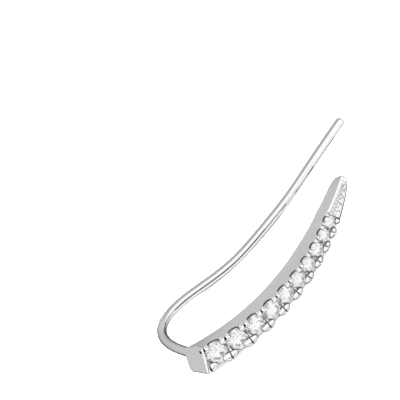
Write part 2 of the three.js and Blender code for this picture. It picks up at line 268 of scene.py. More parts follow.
class Bar:
    """Places on the bar. In its own frames x is across, y is back and z is along."""

    def __init__(self, settings):
        self.sizes = settings.bar
        self.stones = settings.stones
        self.tip = settings.tip
        sizes = self.sizes
        turn = Matrix.Rotation(sizes.roll, 4, "X") @ Matrix.Rotation(sizes.rock, 4, "Y")
        self.place = Matrix.Translation(sizes.start) @ turn
        self.step = sizes.length / CURVE_STEPS
        self.points = [Vector()]
        for i in range(CURVE_STEPS):
            self.points.append(self.points[-1] + self.heading((i + 0.5) * self.step) * self.step)
        self.tip_start = self.groove(self.stones.count)

    def turn(self, along):
        """How far the bar has turned towards its inner side."""
        part = along / self.sizes.length
        even = self.sizes.even_turn
        return self.sizes.turn * part * (even + (1 - even) * part)

    def heading(self, along):
        """Points along the bar towards its tip."""
        turn = self.turn(along)
        lean = self.sizes.lean * along / self.sizes.length
        return Vector((-math.sin(turn) * math.cos(lean), math.sin(lean), math.cos(turn) * math.cos(lean)))

    def frame(self, along):
        """Stands on the curve as the piece lies; past an end it goes straight on."""
        inside = min(max(along, 0), self.sizes.length)
        turn = self.turn(inside)
        heading = self.heading(inside)
        across = Vector((math.cos(turn), 0, math.sin(turn)))
        back = heading.cross(across).normalized()
        index = min(int(inside / self.step), CURVE_STEPS - 1)
        point = self.points[index].lerp(self.points[index + 1], inside / self.step - index)
        matrix = Matrix((across, back, heading)).transposed().to_4x4()
        matrix.translation = point + heading * (along - inside)
        return self.place @ matrix

    def pitch(self, index):
        """From a groove to the next one."""
        return self.stones.first_pitch - self.stones.pitch_step * index

    def groove(self, index):
        """Where a groove lies along the bar."""
        return self.stones.first_groove + sum(self.pitch(i) for i in range(index))

    def stone_along(self, index):
        return (self.groove(index) + self.groove(index + 1)) / 2

    def stone_radius(self, index):
        return self.pitch(index) * self.stones.size / 2

    def stone_frame(self, index):
        """Stands on a stone's table, with z out of it."""
        shift = Matrix.Translation((self.stones.shift, self.stones.drop, 0))
        return self.frame(self.stone_along(index)) @ shift @ Matrix.Rotation(math.pi / 2, 4, "X")

    def width(self, along):
        """Across the walls, without the outer wall's own curve."""
        sizes = self.sizes
        if along <= self.tip_start:
            return mix(sizes.wide_width, sizes.end_width, along / sizes.length)
        start = mix(sizes.wide_width, sizes.end_width, self.tip_start / sizes.length)
        return mix(start, self.tip.width, self.tip_share(along))

    def depth(self, along):
        """From the claw tops to the back."""
        sizes = self.sizes
        full = mix(sizes.wide_depth, sizes.end_depth, along / sizes.length)
        full += sizes.deepening * ease((self.tip_start - along) / DEEPENING_RUN)
        past = max(0, along - (sizes.length - self.tip.curve)) / self.tip.curve
        return self.tip.depth + (full - self.tip.depth) * math.sqrt(max(0, 1 - past * past))

    def tip_share(self, along):
        """How far along the tip a place lies, from 0 at its start to 1 at its end."""
        return (along - self.tip_start) / (self.sizes.length - self.tip_start)

    def inset(self, deep, along):
        """How far the inner wall draws in at a share of its depth."""
        from_middle = (2 * along / self.sizes.length - 1) ** 2
        return mix(-self.sizes.bulge, self.sizes.back_inset, from_middle) * deep

    def outer(self, along):
        """From the middle to the outer wall's side; the inner one is at half the width."""
        reach = self.sizes.outer_inset
        if along <= self.tip_start:
            return self.width(along) / 2 - reach * along / self.tip_start
        return self.width(along) / 2 + mix(-reach, self.tip.fullness, min(1, FULL_RISE * self.tip_share(along)))

    def edge(self, along, side):
        """From the middle to the wall's side: the outer one where side is above 0."""
        return self.outer(along) if side > 0 else self.width(along) / 2


def mix(low, high, part):
    """Goes straight from low to high as the part goes from 0 to 1."""
    return low + (high - low) * part


def ease(part):
    """Goes from 0 to 1 with a soft start and end, and stays there outside."""
    part = min(max(part, 0), 1)
    return part * part * (3 - 2 * part)


# ---- mesh helpers ----
def bend(bar, bm):
    """Bends what is drawn straight, with z along, onto the bar."""
    for vert in bm.verts:
        along = vert.co.z
        vert.co = bar.frame(along) @ Vector((vert.co.x, vert.co.y, 0))


def shade(bm):
    """Smooth faces with sharp edges where they meet at more than the smooth angle."""
    for face in bm.faces:
        face.smooth = True
    for edge in bm.edges:
        edge.smooth = len(edge.link_faces) == 2 and edge.calc_face_angle(0) < SMOOTH_ANGLE


def add_object(name, bm, materials):
    """Turns a drawn solid into an object of the scene."""
    shade(bm)
    mesh = bpy.data.meshes.new(name)
    bm.to_mesh(mesh)
    bm.free()
    for material in materials:
        mesh.materials.append(material)
    return add_to_scene(name, mesh)


def add_to_scene(name, data):
    """A new object that holds the mesh, light or camera."""
    holder = bpy.data.objects.new(name, data)
    bpy.context.scene.collection.objects.link(holder)
    return holder


def metal_piece(name, bm, materials):
    """A piece of the metal, which stands for the plain bar and wire."""
    piece = add_object(name, bm, materials)
    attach(piece, "root")
    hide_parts(METAL_NODE)
    return piece


def append(target, part):
    """Adds the part's faces to the target and frees the part."""
    mesh = bpy.data.meshes.new("part")
    part.to_mesh(mesh)
    part.free()
    target.from_mesh(mesh)
    bpy.data.meshes.remove(mesh)


def unit_block():
    """A block one wide about x = 0, with y and z from 0 to 1."""
    bm = bmesh.new()
    bmesh.ops.create_cube(bm, size=1, matrix=Matrix.Translation((0, 0.5, 0.5)))
    return bm


def only(kind, parts):
    """The verts, edges or faces among mixed parts of a mesh."""
    return [part for part in parts if isinstance(part, kind)]


def round_off(bm, edges, offset, segments):
    """Rounds edges and returns the new faces."""
    return bmesh.ops.bevel(
        bm, geom=edges, offset=offset, offset_type="OFFSET", affect="EDGES",
        segments=segments, profile=0.5, material=-1,
    )["faces"]


def round_edge(bm, side, deep, offset):
    """Rounds the unit block's front (deep 0) or back (deep 1) edge on one side."""
    slack = 0.01
    edges = [
        e for e in bm.edges
        if all(v.co.x * side > 0.5 - slack and abs(v.co.y - deep) < slack for v in e.verts)
    ]
    round_off(bm, edges, offset, CORNER_SEGMENTS)


def add_rings(bm, rings):
    """Divides the unit block's long edges, so that it can follow the bar's curve."""
    lengthwise = [e for e in bm.edges if abs(e.verts[0].co.z - e.verts[1].co.z) > 0.5]
    bmesh.ops.subdivide_edges(bm, edges=lengthwise, cuts=rings, use_grid_fill=True)


def slice_mesh(bm, place, normal, slack=SLICE_SLACK, clear=False):
    """Cuts through a mesh at a plane, can clear all that lies outside, and returns the cut's edges."""
    whole = [*bm.verts, *bm.edges, *bm.faces]
    sliced = bmesh.ops.bisect_plane(
        bm, geom=whole, dist=slack, plane_co=place, plane_no=normal, clear_outer=clear,
    )
    return only(bmesh.types.BMEdge, sliced["geom_cut"])


def add_brush_lines(bm, run):
    """Gives each corner its place on the satin's brush lines, along them and across."""
    uv = bm.loops.layers.uv.new("UVMap")
    for face in bm.faces:
        for loop in face.loops:
            loop[uv].uv = run(loop.vert.co)


def paint(faces, finish):
    for face in faces:
        face.material_index = finish


# ---- materials ----
NOISE_RANGE = (0.3, 0.7)  # where most of a noise's values lie
# Patterns: features in a metre, detail and, for some, how each axis is stretched.
POLISH_CLOUD = (900, 3)
POLISH_MARKS = (9000, 2, (1, 0.25, 1))
BRUSH_LINES = (1, 4, (160, 9000, 1))
GRAIN = (6000, 3)
STONE_HAZE = (1500, 2)
FLOOR_CLOUD = (30, 2)
# Reliefs: strength and height.
MARK_RELIEF = (0.04, 0.002 * MM)
BRUSH_RELIEF = (0.12, 0.004 * MM)
GRAIN_RELIEF = (0.3, 0.01 * MM)
BRIGHT_NAME = "bright_rhodium"
BRIGHT_ROUGHNESS = (0.03, 0.08)
SATIN_NAME = "satin_rhodium"
SATIN_ROUGHNESS = (0.22, 0.32)
SATIN_DARKEST = 0.93  # share of its colour
# A grey and a near-black metal that are painted shade, and the pale unpolished seats: the finish that gives
# each its colour, and its darkest share of that colour.
RECESSES = {"grey_hollow": ("hollow", 0.7), "dark_notch": ("dull_painted_shade", 0.6), "pale_seat": ("seat", 0.75)}
RECESS_ROUGHNESS = (0.4, 0.6)
STONE_CLEARNESS = 0.965  # the rest is a pale haze
STONE_BENDING = 2.4  # how strongly light bends in a stone, as its index of refraction
STONE_ROUGHNESS = (0, 0.012)
FLOOR_DARKEST = 0.99
FLOOR_ROUGHNESS = 0.9
FLOOR_GLOSS = 0.1


def node_material(name):
    """A new material, its nodes and its shader."""
    material = bpy.data.materials.new(name)
    material.use_nodes = True
    return material, material.node_tree, material.node_tree.nodes["Principled BSDF"]


def feed(tree, node, inputs):
    """Gives a node its inputs, each a value or another node's output."""
    for name, source in inputs.items():
        if isinstance(source, bpy.types.NodeSocket):
            tree.links.new(source, node.inputs[name])
        else:
            node.inputs[name].default_value = source


def new_node(tree, kind, inputs, **options):
    """Adds a node and returns its outputs."""
    node = tree.nodes.new(f"ShaderNode{kind}")
    for name, value in options.items():
        setattr(node, name, value)
    feed(tree, node, inputs)
    return node.outputs


def noise(tree, source, scale, detail, stretch=(1, 1, 1)):
    """Noise on coordinates; the scale counts features in a metre."""
    stretched = new_node(tree, "Mapping", {"Scale": stretch, "Vector": source})["Vector"]
    return new_node(tree, "TexNoise", {"Scale": scale, "Detail": detail, "Vector": stretched})["Fac"]


def map_range(tree, source, source_range, target_range, interpolation="SMOOTHSTEP"):
    """Maps one range of values to another, and holds both ends."""
    ends = dict(zip(("From Min", "From Max", "To Min", "To Max"), (*source_range, *target_range)))
    return new_node(tree, "MapRange", {**ends, "Value": source}, interpolation_type=interpolation)["Result"]


def ramp(tree, factor, target_range):
    """Spreads a noise's values over a range."""
    return map_range(tree, factor, NOISE_RANGE, target_range, "LINEAR")


def uneven_tone(tree, factor, tint, darkest):
    """A colour that varies between a tint and its darkest share."""
    dark = (*[part * darkest for part in tint], 1)
    return new_node(tree, "Mix", {"A": dark, "B": (*tint, 1), "Factor": factor}, data_type="RGBA")["Result"]


def bump(tree, height, strength, distance):
    """Lets a pattern raise the surface."""
    return new_node(tree, "Bump", {"Strength": strength, "Distance": distance, "Height": height})["Normal"]


def bright_metal(finishes):
    """Mirror polish with a faint swirl of polishing marks."""
    tree, shader = node_material(BRIGHT_NAME)[1:]
    place = new_node(tree, "TexCoord", {})["Object"]
    cloud = noise(tree, place, *POLISH_CLOUD)
    marks = noise(tree, place, *POLISH_MARKS)
    feed(tree, shader, {
        "Base Color": (*finishes.bright, 1),
        "Metallic": 1,
        # The near-black edge tint paints shade along the edges where the metal turns away.
        "Specular Tint": (*finishes.grazing_painted_shade, 1),
        "Roughness": ramp(tree, cloud, BRIGHT_ROUGHNESS),
        "Normal": bump(tree, marks, *MARK_RELIEF),
    })


def unpolished_metal_and_painted_shade(name, pattern, tint, darkest, roughness, relief):
    """Metal with a pattern of darker tone, roughness and relief."""
    tree, shader = node_material(name)[1:]
    factor = pattern(tree)
    feed(tree, shader, {
        "Metallic": 1,
        "Base Color": uneven_tone(tree, ramp(tree, factor, (0, 1)), tint, darkest),
        "Roughness": ramp(tree, factor, roughness),
        "Normal": bump(tree, factor, *relief),
    })


def brush_lines(tree):
    """Fine lines that run along the bar's satin sides."""
    return noise(tree, new_node(tree, "UVMap", {})["UV"], *BRUSH_LINES)


def grain_pattern(tree):
    """The fine grain of metal that no polish reaches."""
    return noise(tree, new_node(tree, "TexCoord", {})["Object"], *GRAIN)


def metal_materials(finishes):
    """The metal's finishes, made once and shared by its pieces, in the order of their slots."""
    if BRIGHT_NAME not in bpy.data.materials:
        bright_metal(finishes)
        unpolished_metal_and_painted_shade(
            SATIN_NAME, brush_lines, finishes.satin, SATIN_DARKEST, SATIN_ROUGHNESS, BRUSH_RELIEF,
        )
        # The grey and the near-black ones are painted shade; the pale seat is unpolished metal.
        for name, (finish, darkest) in RECESSES.items():
            tint = getattr(finishes, finish)
            unpolished_metal_and_painted_shade(name, grain_pattern, tint, darkest, RECESS_ROUGHNESS, GRAIN_RELIEF)
    return [bpy.data.materials[name] for name in (BRIGHT_NAME, SATIN_NAME, *RECESSES)]


def stone_material(stones):
    """A clear stone with polished facets and a trace of haze."""
    material, tree, shader = node_material("clear_brilliant")
    haze = noise(tree, new_node(tree, "TexCoord", {})["Object"], *STONE_HAZE)
    feed(tree, shader, {
        "Base Color": (*stones.tint, 1),
        "Transmission Weight": STONE_CLEARNESS,
        "IOR": STONE_BENDING,
        "Roughness": ramp(tree, haze, STONE_ROUGHNESS),
    })
    return material


def floor_material(finishes):
    """A plain pale matt floor."""
    material, tree, shader = node_material("pale_floor")
    cloud = noise(tree, new_node(tree, "TexCoord", {})["Object"], *FLOOR_CLOUD)
    feed(tree, shader, {
        "Base Color": uneven_tone(tree, cloud, finishes.floor, FLOOR_DARKEST),
        "Roughness": FLOOR_ROUGHNESS,
        "Specular IOR Level": FLOOR_GLOSS,
    })
    return material


# ---- bar ----
# Roundings of the unit block's long edges, as shares of its section.
INNER_CORNER = 0.07  # at the inner wall's back
OUTER_CORNER = 0.16  # at the outer wall's back
FRONT_CORNER = 0.09  # at the outer wall's front
BLOCK_CORNER = 0.17  # at the end block's outer back
WALL_RINGS = 260
RIM_EDGE = -0.27  # where the tip's bright rim ends at its start, a share of the section from its middle
RIM_LIMIT = 0.1  # the farthest that the rim's edge moves as the tip narrows
CHANNEL_EDGE = 0.32  # where the tip's channel ends
LIP = 0.035  # width of the step down into the channel
LIP_FOOT = 0.001  # width of the step's own face
STEP_DOWN = 0.1 * MM  # length of the front's step where the tip starts
CHANNEL_END = 0.3 * MM  # the channel has risen to the rim this far before the curve's end
CHANNEL_RISE = 0.5 * MM  # over this length
CHANNEL_FLOOR = 0.7  # faces behind this share of the channel's depth are its floor
CHANNEL_HALF = 0.45  # within this share of the width from the middle
CAP_RINGS = 0.06  # share of the rings that go to the round cap
CAP_TURN = math.radians(85)
FRONT_FACING = -0.5  # a face whose normal points back by less than this belongs to the front
# The outer front's rounding picked out by these normals gets grey painted shade.
CORNER_ACROSS = (0.1, 0.99)  # how far the normals of the outer front's rounding point across
CORNER_FACING = -0.05  # and back, at the most
BLOCK_OUTER = 0.2  # the end block's outer edges lie farther out than this share of its width
BLOCK_FRONT = 0.01 * MM  # and reach farther back than this


def ring_place(bar, plate, part):
    """Where a ring lies along the bar, and how far round the cap it is."""
    cap_start = bar.sizes.length - bar.tip.cap
    if part <= 1 - CAP_RINGS:
        return mix(plate.setback + plate.thickness / 2, cap_start, part / (1 - CAP_RINGS)), 0
    turned = CAP_TURN * (part - 1 + CAP_RINGS) / CAP_RINGS
    return cap_start + (bar.tip.cap + bar.tip.nose) * math.sin(turned), turned


def front_of_wall(bar, across, along):
    """How far the front of the wall lies behind the claw tops."""
    tip = bar.tip
    into_tip = ease((along - bar.tip_start + STEP_DOWN) / STEP_DOWN)
    in_channel = RIM_EDGE < across < CHANNEL_EDGE
    fade = ease((bar.sizes.length - CHANNEL_END - along) / CHANNEL_RISE)
    in_tip = mix(tip.rim_top, tip.channel, fade) if in_channel else tip.rim_top
    return mix(bar.sizes.wall_top, in_tip, into_tip)


def widened(bar, across, deep, along):
    """Keeps the tip's bright rim as wide as it starts, while the tip narrows."""
    slack = 0.001
    if along < bar.tip_start or deep > slack or abs(across) > 0.5 - slack:
        return across
    rim_edge = min(-0.5 + bar.tip.rim / bar.width(along), RIM_LIMIT)
    if across <= RIM_EDGE + 10 * slack:
        return rim_edge + (across - RIM_EDGE)
    return mix(rim_edge, 0.5, (across - RIM_EDGE) / (0.5 - RIM_EDGE))


def wall_finish(normal):
    """Bright front and satin sides, with grey painted shade on the rounding between the front and the outer
    side.
    """
    if CORNER_ACROSS[0] < normal.x < CORNER_ACROSS[1] and normal.y < CORNER_FACING:
        return PAINTED_SHADE
    return BRIGHT if normal.y < FRONT_FACING else SATIN


def on_channel_floor(bar, middle):
    """Whether the middle of a front face lies down in the tip's channel."""
    part = abs(middle.x / bar.width(middle.z))
    return middle.z > bar.tip_start and middle.y > bar.tip.channel * CHANNEL_FLOOR and part < CHANNEL_HALF


def wall_solid(bar, plate):
    """The unit block with the walls' real section at each ring, bent onto the curve."""
    bm = unit_block()
    round_edge(bm, -1, 1, INNER_CORNER)
    round_edge(bm, 1, 1, OUTER_CORNER)
    round_edge(bm, 1, 0, FRONT_CORNER)
    for place in (RIM_EDGE - LIP, RIM_EDGE + LIP_FOOT, CHANNEL_EDGE - LIP_FOOT, CHANNEL_EDGE + LIP):
        slice_mesh(bm, (place, 0, 0), (1, 0, 0))
    add_rings(bm, WALL_RINGS)
    add_brush_lines(bm, lambda co: (co.z * bar.sizes.length, co.y * bar.sizes.wide_depth))
    for face in bm.faces:
        face.material_index = wall_finish(face.normal)
    for vert in bm.verts:
        across, deep, part = vert.co
        along, turned = ring_place(bar, plate, part)
        draw_in = bar.tip.cap * (1 - math.cos(turned))
        front = front_of_wall(bar, across, along) + draw_in
        back = bar.depth(along) - draw_in
        inset = bar.inset(deep, along) if across < 0 else 0
        place = widened(bar, across, deep, along)
        width = 2 * bar.edge(along, place)
        vert.co = Vector(((place * width + inset) * math.cos(turned), mix(front, back, deep), along))
    fronts = [face for face in bm.faces if face.material_index == BRIGHT]
    paint([face for face in fronts if on_channel_floor(bar, face.calc_center_median())], SEAT)
    bend(bar, bm)
    return bm


def plate_solid(bar, plate):
    """The end block, as high as the claws, with a face that leans out."""
    bm = unit_block()
    round_edge(bm, -1, 1, INNER_CORNER)
    round_edge(bm, 1, 1, BLOCK_CORNER)
    for face in bm.faces:
        face.material_index = BRIGHT if face.normal.y < FRONT_FACING else SATIN
    for vert in bm.verts:
        share_across, deep, part = vert.co
        across = share_across * plate.width + (bar.inset(deep, 0) if share_across < 0 else 0)
        reach = plate.lean * deep + plate.skew * across if part < 0.5 else 0
        along = plate.setback + part * plate.thickness - reach
        vert.co = Vector((across, deep * bar.depth(0), along))
    bm.normal_update()
    face = min(bm.faces, key=lambda face: face.normal.z)
    outer = [
        e for e in face.edges
        if sum(v.co.x for v in e.verts) / 2 > BLOCK_OUTER * plate.width
        and max(v.co.y for v in e.verts) > BLOCK_FRONT
    ]
    # The face's rounding on the outer side is painted grey: painted shade.
    paint(round_off(bm, outer, plate.outer_edge, CORNER_SEGMENTS), PAINTED_SHADE)
    sharp = [e for e in bm.edges if e.calc_face_angle(0) > SMOOTH_ANGLE]
    round_off(bm, sharp, plate.edge, CORNER_SEGMENTS // 2)
    add_brush_lines(bm, lambda co: (co.y, co.x))
    bmesh.ops.transform(bm, matrix=bar.frame(0), verts=bm.verts)
    return bm


# ---- cutting tools ----
SEAT_GAP = 0.03 * MM  # all round a stone
CLAW_GAP = 0.02 * MM  # between a claw and its stone's crown
CULET_FLAT = 0.1  # a seat's cone ends in a flat, a share of the stone's radius
GROOVE_REACH = 1.5  # length of the saw cut's tool, in widths of the bar
NOTCH_DEPTH = 1.6  # depth of a notch, in depths of its groove
SMALLEST = 0.0005 * MM  # what the cuts leave smaller than this is cleared
TOOL_SIDES = 48
NOTCH_SIDES = 24
PIT_SIDES = 20


def cone(bm, matrix, low, high, bottom, top, segments=TOOL_SIDES):
    """A cone or cylinder about z from the bottom height to the top height."""
    place = matrix @ Matrix.Translation((0, 0, (bottom + top) / 2))
    bmesh.ops.create_cone(
        bm, cap_ends=True, segments=segments, radius1=low, radius2=high, depth=top - bottom, matrix=place,
    )


def seat_tool(bar, index):
    """A stone's seat: a cone below its girdle and a straight shaft above it."""
    stones = bar.stones
    radius = bar.stone_radius(index)
    girdle = -radius * (stones.crown + stones.girdle)
    culet = girdle - radius * stones.pavilion
    bm = bmesh.new()
    bottom = mix(culet, girdle, CULET_FLAT) - 2 * SEAT_GAP
    cone(bm, Matrix.Identity(4), CULET_FLAT * radius, radius + SEAT_GAP, bottom, girdle)
    top = max(bm.faces, key=lambda face: face.calc_center_median().z)
    shaft = bmesh.ops.extrude_discrete_faces(bm, faces=[top])["faces"][0]
    bmesh.ops.translate(bm, vec=(0, 0, radius - girdle), verts=shaft.verts)
    bmesh.ops.transform(bm, matrix=bar.stone_frame(index), verts=bm.verts)
    return bm


def slant(claws, index):
    """The first groove runs straight along the end block."""
    return claws.slant if index else 0


def slanted(bar, claws, index):
    """A groove's frame, which runs a little towards the wide end on the outer side."""
    along = bar.groove(index)
    shear = Matrix.Identity(4)
    shear[2][0] = -slant(claws, index)
    shear[2][3] = -slant(claws, index) * bar.width(along) / 2
    return bar.frame(along) @ shear


def stone_room(bar, index):
    """A stone's own room, so that the claws rest on it: crown, belt and a cone below."""
    stones = bar.stones
    radius = bar.stone_radius(index) + CLAW_GAP
    bm = bmesh.new()
    cone(bm, Matrix.Identity(4), radius, radius * stones.table, -radius * stones.crown, CLAW_GAP)
    base = min(bm.faces, key=lambda face: face.calc_center_median().z)
    belt = bmesh.ops.extrude_discrete_faces(bm, faces=[base])["faces"][0]
    bmesh.ops.translate(bm, vec=(0, 0, -radius * stones.girdle), verts=belt.verts)
    point = bmesh.ops.extrude_discrete_faces(bm, faces=[belt])["faces"][0]
    bmesh.ops.scale(bm, vec=(CULET_FLAT, CULET_FLAT, 1), verts=point.verts)
    bmesh.ops.translate(bm, vec=(0, 0, -radius * stones.pavilion * (1 - CULET_FLAT)), verts=point.verts)
    bmesh.ops.transform(bm, matrix=bar.stone_frame(index), verts=bm.verts)
    return bm


def groove_tool(bar, claws, index):
    """The saw cut between two claws, open on the outer side."""
    along = bar.groove(index)
    width = bar.width(along)
    reach = width * GROOVE_REACH
    centre = claws.groove_inset - width / 2 + reach / 2
    bm = bmesh.new()
    size = Matrix.Diagonal((reach, claws.groove_depth * 2, claws.groove_width, 1))
    place = slanted(bar, claws, index) @ Matrix.Translation((centre, 0, 0)) @ size
    bmesh.ops.create_cube(bm, size=1, matrix=place)
    return bm


def notch_tool(bar, claws, index, side):
    """The oval notch at one end of a groove."""
    along = bar.groove(index)
    pitch = bar.pitch(index)
    across, half = claws.notch_across * pitch, claws.notch_along * pitch
    overhang = claws.outer_overhang if side > 0 else -claws.groove_inset
    edge = side * (bar.edge(along, side) + overhang - across)
    turn = Matrix.Rotation(math.pi / 2, 4, "X")
    oval = Matrix.Diagonal((across, half, 1, 1))
    place = slanted(bar, claws, index) @ Matrix.Translation((edge, 0, 0)) @ turn @ oval
    bm = bmesh.new()
    cone(bm, place, 1, 1, -claws.groove_depth * NOTCH_DEPTH, claws.groove_depth, NOTCH_SIDES)
    return bm


def scallop_tool(bar, claws, index, side, relief=0):
    """The hollow in one wall beside a stone, a round bar laid across, or the edge round it that is painted grey
    as shade.
    """
    radius = claws.scallop * bar.pitch(index) + relief
    reach = bar.edge(bar.stone_along(index), side)
    ends = sorted((side * (reach - relief if relief else 0), side * reach * 2))
    bm = bmesh.new()
    place = bar.frame(bar.stone_along(index)) @ Matrix.Rotation(math.pi / 2, 4, "Y")
    cone(bm, place, radius, radius, *ends)
    return bm


def notches(bar, claws):
    """Notch tools for both ends of every groove."""
    return [notch_tool(bar, claws, i, side) for i in range(bar.stones.count + 1) for side in (-1, 1)]


def pit_tool(bar, plate):
    """The small drilled pit in the block's face."""
    across = plate.pit_across - plate.width / 2
    deep = plate.pit_deep
    along = plate.setback - plate.lean * deep / bar.depth(0) - plate.skew * across
    out = Vector((-plate.skew, -plate.lean / bar.depth(0), -1)).normalized()
    turn = out.to_track_quat("Z", "Y").to_matrix().to_4x4()
    place = bar.frame(0) @ Matrix.Translation((across, deep, along)) @ turn
    bm = bmesh.new()
    cone(bm, place, plate.pit, plate.pit, -4 * plate.pit, plate.pit, PIT_SIDES)
    return bm


def cut(piece, tools, materials, finish):
    """Cuts the joined tools out of a piece; the new faces have the given finish."""
    joined = bmesh.new()
    for tool in tools:
        paint(tool.faces, finish)
        append(joined, tool)
    cutter = add_object("cutter", joined, materials)
    modifier = piece.modifiers.new("cut", "BOOLEAN")
    modifier.operation = "DIFFERENCE"
    modifier.solver = "MANIFOLD"
    modifier.object = cutter
    depsgraph = bpy.context.evaluated_depsgraph_get()
    result = bpy.data.meshes.new_from_object(piece.evaluated_get(depsgraph))
    piece.modifiers.remove(modifier)
    old = piece.data
    piece.data = result
    bpy.data.meshes.remove(old)
    mesh = cutter.data
    bpy.data.objects.remove(cutter)
    bpy.data.meshes.remove(mesh)


def finish_cut(piece):
    """Clears what the cuts left too small and marks sharp edges again."""
    bm = bmesh.new()
    bm.from_mesh(piece.data)
    bmesh.ops.triangulate(bm, faces=[face for face in bm.faces if len(face.verts) > 4])
    bmesh.ops.dissolve_degenerate(bm, edges=bm.edges, dist=SMALLEST)
    shade(bm)
    bm.to_mesh(piece.data)
    bm.free()


def even_normals(piece):
    """Keeps large flat faces flat where they meet rounded edges."""
    modifier = piece.modifiers.new("even normals", "WEIGHTED_NORMAL")
    modifier.keep_sharp = True
    modifier.weight = 100  # the most that the modifier takes


def add_bar(settings):
    """The walls with all their cuts, and the end block."""
    bar = Bar(settings)
    claws = settings.claws
    materials = metal_materials(settings.finishes)
    walls = metal_piece("bar_walls", wall_solid(bar, settings.plate), materials)
    count = bar.stones.count
    # Neighbouring seats meet, so they are cut in two rounds.
    rounds = (
        ([seat_tool(bar, i) for i in range(0, count, 2)], SEAT),
        ([seat_tool(bar, i) for i in range(1, count, 2)], SEAT),
        # The inner hollows' cut faces are painted grey: painted shade in the gap between stone and wall.
        ([scallop_tool(bar, claws, i, -1) for i in range(count)], PAINTED_SHADE),
        ([scallop_tool(bar, claws, i, 1) for i in range(count)], BRIGHT),
        # The edge round each outer hollow is painted grey: painted shade that outlines it.
        ([scallop_tool(bar, claws, i, 1, claws.relief) for i in range(count)], PAINTED_SHADE),
        ([groove_tool(bar, claws, i) for i in range(count + 1)], SEAT),
        # The notches' insides are painted near black: painted shade.
        (notches(bar, claws), PAINTED_DARK_SHADE),
    )
    for tools, finish in rounds:
        cut(walls, tools, materials, finish)
    finish_cut(walls)
    block = metal_piece("end_block", plate_solid(bar, settings.plate), materials)
    # The pit's inside is painted near black: painted shade.
    cut(block, [pit_tool(bar, settings.plate)], materials, PAINTED_DARK_SHADE)
    finish_cut(block)
    even_normals(block)


# ---- claws ----
FLATNESS = 0.58  # 1 leaves a claw round, and less flattens its top
FOOT_INSET = 1.5  # an inner claw's foot draws in by this many times its width
OUTER_DROP = 0.4  # an outer claw's foot lies this share as far behind as an inner one's


def claw_solid(bar, claws, groove, side, toward, size=(1, 1, 1), foot=0, drop=0):
    """One claw: a flat-topped pillow that is cut flat at its groove and reaches over its stone."""
    pitch = bar.pitch(groove + (toward - 1) / 2)
    along = bar.groove(groove)
    length_share = claws.outer_along if side > 0 else claws.inner_along
    width_share = claws.outer_across if side > 0 else claws.inner_across
    half = Vector((width_share * size[0], claws.deep * size[1], length_share * size[2])) * pitch
    overhang = claws.outer_overhang if side > 0 else claws.inner_overhang - FOOT_INSET * foot
    reach = bar.edge(along, side) - half.x + overhang
    if side > 0:
        along -= slant(claws, groove) * (reach + bar.width(along) / 2)
    half += Vector((foot, 0, foot))
    bm = bmesh.new()
    bmesh.ops.create_uvsphere(bm, u_segments=32, v_segments=24, radius=1)
    upright = Matrix.Rotation(math.pi / 2, 3, "X")
    toe_in = Matrix.Rotation(-side * toward * claws.toe_in, 3, "Y")
    bmesh.ops.rotate(bm, cent=(0, 0, 0), matrix=upright, verts=bm.verts)
    for vert in bm.verts:
        vert.co = pillow(vert.co)
    bmesh.ops.scale(bm, vec=half, verts=bm.verts)
    bmesh.ops.rotate(bm, cent=(0, 0, 0), matrix=toe_in, verts=bm.verts)
    bmesh.ops.translate(bm, vec=(side * reach, half.y + drop, along), verts=bm.verts)
    # A foot is painted grey: painted shade round its claw.
    paint(bm.faces, PAINTED_SHADE if foot else BRIGHT)
    groove_side = (0, 0, along + toward * claws.groove_width / 2)
    rim = slice_mesh(bm, groove_side, (0, 0, -toward), clear=True)
    flat = bmesh.ops.edgeloop_fill(bm, edges=rim)["faces"]
    bmesh.ops.recalc_face_normals(bm, faces=bm.faces)
    paint(flat, SEAT)
    bend(bar, bm)
    return bm


def pillow(point):
    """Flattens a ball of radius 1 on its front and back, with y out of its front."""
    reach = math.hypot(point.x, point.z)
    if reach < 1e-6:  # a pole of the ball
        return point
    wide = reach ** FLATNESS
    high = math.copysign(abs(point.y) ** FLATNESS, point.y)
    return Vector((point.x / reach * wide, high, point.z / reach * wide))


def add_claws(settings):
    """The claws on both sides of every groove, and their feet, which are grey rims of painted shade."""
    bar = Bar(settings)
    claws = settings.claws
    last = bar.stones.count
    bright, feet = bmesh.new(), bmesh.new()
    append(bright, claw_solid(bar, claws, 0, -1, -1, settings.plate.claw))
    for groove in range(last + 1):
        for toward in (-1, 1):
            if (groove, toward) in ((0, -1), (last, 1)):
                continue
            for side in (-1, 1):
                append(bright, claw_solid(bar, claws, groove, side, toward))
                drop = claws.foot_drop * (OUTER_DROP if side > 0 else 1)
                foot = mix(claws.foot, claws.outer_foot, groove / last) if side > 0 else claws.foot
                append(feet, claw_solid(bar, claws, groove, side, toward, foot=foot, drop=drop))
    materials = metal_materials(settings.finishes)
    for name, solids, finish in (("claws", bright, BRIGHT), ("claw_feet", feet, PAINTED_SHADE)):
        piece = metal_piece(name, solids, materials)
        cut(piece, [stone_room(bar, i) for i in range(last)], materials, finish)
        # The notches' insides are painted near black: painted shade.
        cut(piece, notches(bar, claws), materials, PAINTED_DARK_SHADE)
        finish_cut(piece)


